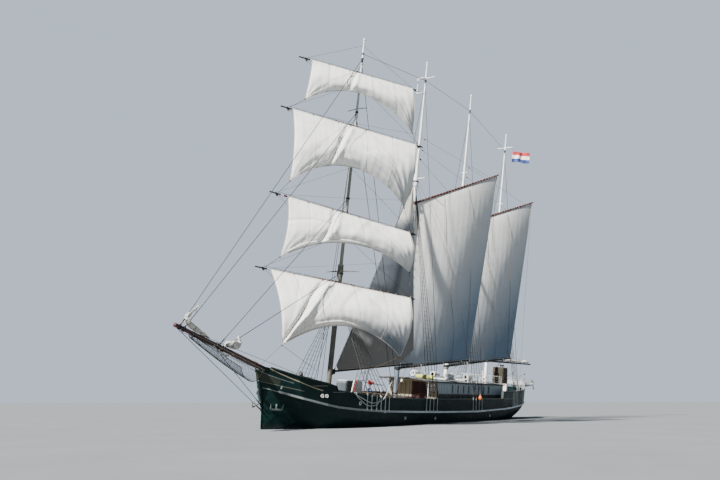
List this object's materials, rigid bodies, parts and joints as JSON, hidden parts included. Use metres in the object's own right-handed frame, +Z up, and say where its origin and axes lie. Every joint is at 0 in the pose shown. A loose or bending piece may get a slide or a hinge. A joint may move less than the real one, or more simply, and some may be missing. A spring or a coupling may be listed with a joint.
{
  "type": "four-masted barquentine, 1:2 scale model",
  "caption": "Four-masted sailing ship with square sails on the foremast, gaff sails and a staysail aft, green hull, deckhouse, bowsprit, rudder and propeller.",
  "frame": {"origin": "on the centreline at the waterline, amidships", "axes": "+X towards the bow, +Y to port, +Z up"},
  "size_m": [29.4474, 5.0625, 20.1222],
  "materials": {
    "hull_paint": "semi-gloss dark green hull paint",
    "strake_paint": "pale grey strake paint",
    "teak": "weathered planking",
    "cream_paint": "cream deckhouse paint",
    "roof_paint": "grey roof paint",
    "mast_paint": "pale mast paint",
    "buff_paint": "buff foremast paint",
    "maroon_paint": "dark red spar paint",
    "black_paint": "black paint",
    "white_paint": "white paint",
    "grey_paint": "grey paint",
    "canvas": "sailcloth",
    "tarpaulin": "brown canvas cover",
    "net_cord": "knotted cord net",
    "wire_rope": "galvanised wire rope, dark with grease",
    "shell": "moulded white shell",
    "bronze": "cast bronze"
  },
  "bodies": {
    "ship": {"hull": "hull_paint", "rail_cap": "hull_paint", "rubbing_strake": "strake_paint", "fore_deck": "teak", "waist_deck": "teak", "quarter_deck": "teak", "foremast": "buff_paint", "mainmast": "mast_paint", "mizzenmast": "mast_paint", "jiggermast": "mast_paint", "bowsprit": "maroon_paint", "head_stays": "wire_rope", "bowsprit_net": "net_cord", "furled_outer_jib": "canvas", "furled_inner_jib": "canvas", "fore_shrouds": "wire_rope", "main_shrouds": "wire_rope", "mizzen_shrouds": "wire_rope", "jigger_shrouds": "wire_rope", "triatic_stay": "wire_rope", "main_stay": "wire_rope", "deckhouse_walls": "cream_paint", "deckhouse_roof": "roof_paint", "roof_guard_rail": "white_paint", "liferafts_forward": "shell", "liferafts_aft": "shell", "vent_pipe": "white_paint", "steering_shelter": "tarpaulin", "helm_stand": "teak", "companion": "grey_paint", "windlass": "black_paint", "bow_bitts": "black_paint", "stern_bitts": "black_paint", "anchor_port": "black_paint", "anchor_starboard": "black_paint", "stern_davits": "white_paint", "dinghy": "white_paint"},
    "course": {"course_yard": "maroon_paint", "course_sail": "canvas"},
    "topsail": {"topsail_yard": "maroon_paint", "topsail_sail": "canvas"},
    "topgallant": {"topgallant_yard": "maroon_paint", "topgallant_sail": "canvas"},
    "royal": {"royal_yard": "maroon_paint", "royal_sail": "canvas"},
    "staysail": {"staysail_boom": "black_paint", "main_staysail": "canvas"},
    "main_boom": {"main_boom": "black_paint", "mainsail": "canvas"},
    "main_gaff": {"main_gaff": "maroon_paint"},
    "mizzen_boom": {"mizzen_boom": "black_paint", "mizzen_sail": "canvas"},
    "mizzen_gaff": {"mizzen_gaff": "maroon_paint"},
    "jigger": {"jigger_boom": "maroon_paint", "jigger_furled_sail": "canvas"},
    "rudder": {"rudder": "hull_paint"},
    "propeller": {"propeller": "bronze"},
    "helm_wheel": {"helm_wheel": "teak"},
    "door_port": {"door_port": "maroon_paint"},
    "door_starboard": {"door_starboard": "maroon_paint"}
  },
  "joints": [
    {"name": "course_brace", "type": "hinge", "parent": "ship", "child": "course", "pos_m": [7.86673, 0, 5.83655], "axis": [-0.0314, 0, 0.9995], "range_deg": [-92, 0]},
    {"name": "topsail_brace", "type": "hinge", "parent": "ship", "child": "topsail", "pos_m": [7.77218, 0, 8.84506], "axis": [-0.0314, 0, 0.9995], "range_deg": [-92, 0]},
    {"name": "topgallant_brace", "type": "hinge", "parent": "ship", "child": "topgallant", "pos_m": [7.64984, 0, 12.73814], "axis": [-0.0314, 0, 0.9995], "range_deg": [-92, 0]},
    {"name": "royal_brace", "type": "hinge", "parent": "ship", "child": "royal", "pos_m": [7.57115, 0, 15.2419], "axis": [-0.0314, 0, 0.9995], "range_deg": [-92, 0]},
    {"name": "staysail_sheet", "type": "hinge", "parent": "ship", "child": "staysail", "pos_m": [7.41, 0, 2.21], "axis": [-0.4964, 0, 0.8681], "range_deg": [-21, 49]},
    {"name": "main_boom_sheet", "type": "hinge", "parent": "ship", "child": "main_boom", "pos_m": [2.30247, 0, 2.53127], "axis": [-0.0543, 0, 0.9985], "range_deg": [-20, 64]},
    {"name": "main_gaff_vang", "type": "hinge", "parent": "ship", "child": "main_gaff", "pos_m": [1.86112, 0, 10.65429], "axis": [-0.0543, 0, 0.9985], "range_deg": [-20, 64]},
    {"name": "mizzen_boom_sheet", "type": "hinge", "parent": "ship", "child": "mizzen_boom", "pos_m": [-2.69514, 0, 2.82181], "axis": [-0.076, 0, 0.9971], "range_deg": [-20, 64]},
    {"name": "mizzen_gaff_vang", "type": "hinge", "parent": "ship", "child": "mizzen_gaff", "pos_m": [-3.28736, 0, 10.58927], "axis": [-0.076, 0, 0.9971], "range_deg": [-20, 64]},
    {"name": "jigger_boom_sheet", "type": "hinge", "parent": "ship", "child": "jigger", "pos_m": [-7.85701, 0, 3.33497], "axis": [-0.0946, 0, 0.9955], "range_deg": [-36, 54]},
    {"name": "rudder_turn", "type": "hinge", "parent": "ship", "child": "rudder", "pos_m": [-10.3, 0, -0.75], "axis": [0, 0, 1], "range_deg": [-35, 35]},
    {"name": "propeller_spin", "type": "hinge", "parent": "ship", "child": "propeller", "pos_m": [-9.85, 0, -0.875], "axis": [1, 0, 0], "continuous": true},
    {"name": "helm_turn", "type": "hinge", "parent": "ship", "child": "helm_wheel", "pos_m": [-9.7, 0, 1.875], "axis": [1, 0, 0], "range_deg": [-540, 540]},
    {"name": "door_port_hinge", "type": "hinge", "parent": "ship", "child": "door_port", "pos_m": [0.7775, 0.7665, 1.42], "axis": [0, 0, 1], "range_deg": [0, 90]},
    {"name": "door_starboard_hinge", "type": "hinge", "parent": "ship", "child": "door_starboard", "pos_m": [0.7775, 0.0335, 1.42], "axis": [0, 0, -1], "range_deg": [0, 90]}
  ],
  "couplings": [
    {"joint": "topsail_brace", "follows": "course_brace", "ratio": 1},
    {"joint": "topgallant_brace", "follows": "course_brace", "ratio": 1},
    {"joint": "royal_brace", "follows": "course_brace", "ratio": 1},
    {"joint": "main_gaff_vang", "follows": "main_boom_sheet", "ratio": 1},
    {"joint": "mizzen_gaff_vang", "follows": "mizzen_boom_sheet", "ratio": 1},
    {"joint": "helm_turn", "follows": "rudder_turn", "ratio": 15.429}
  ]
}
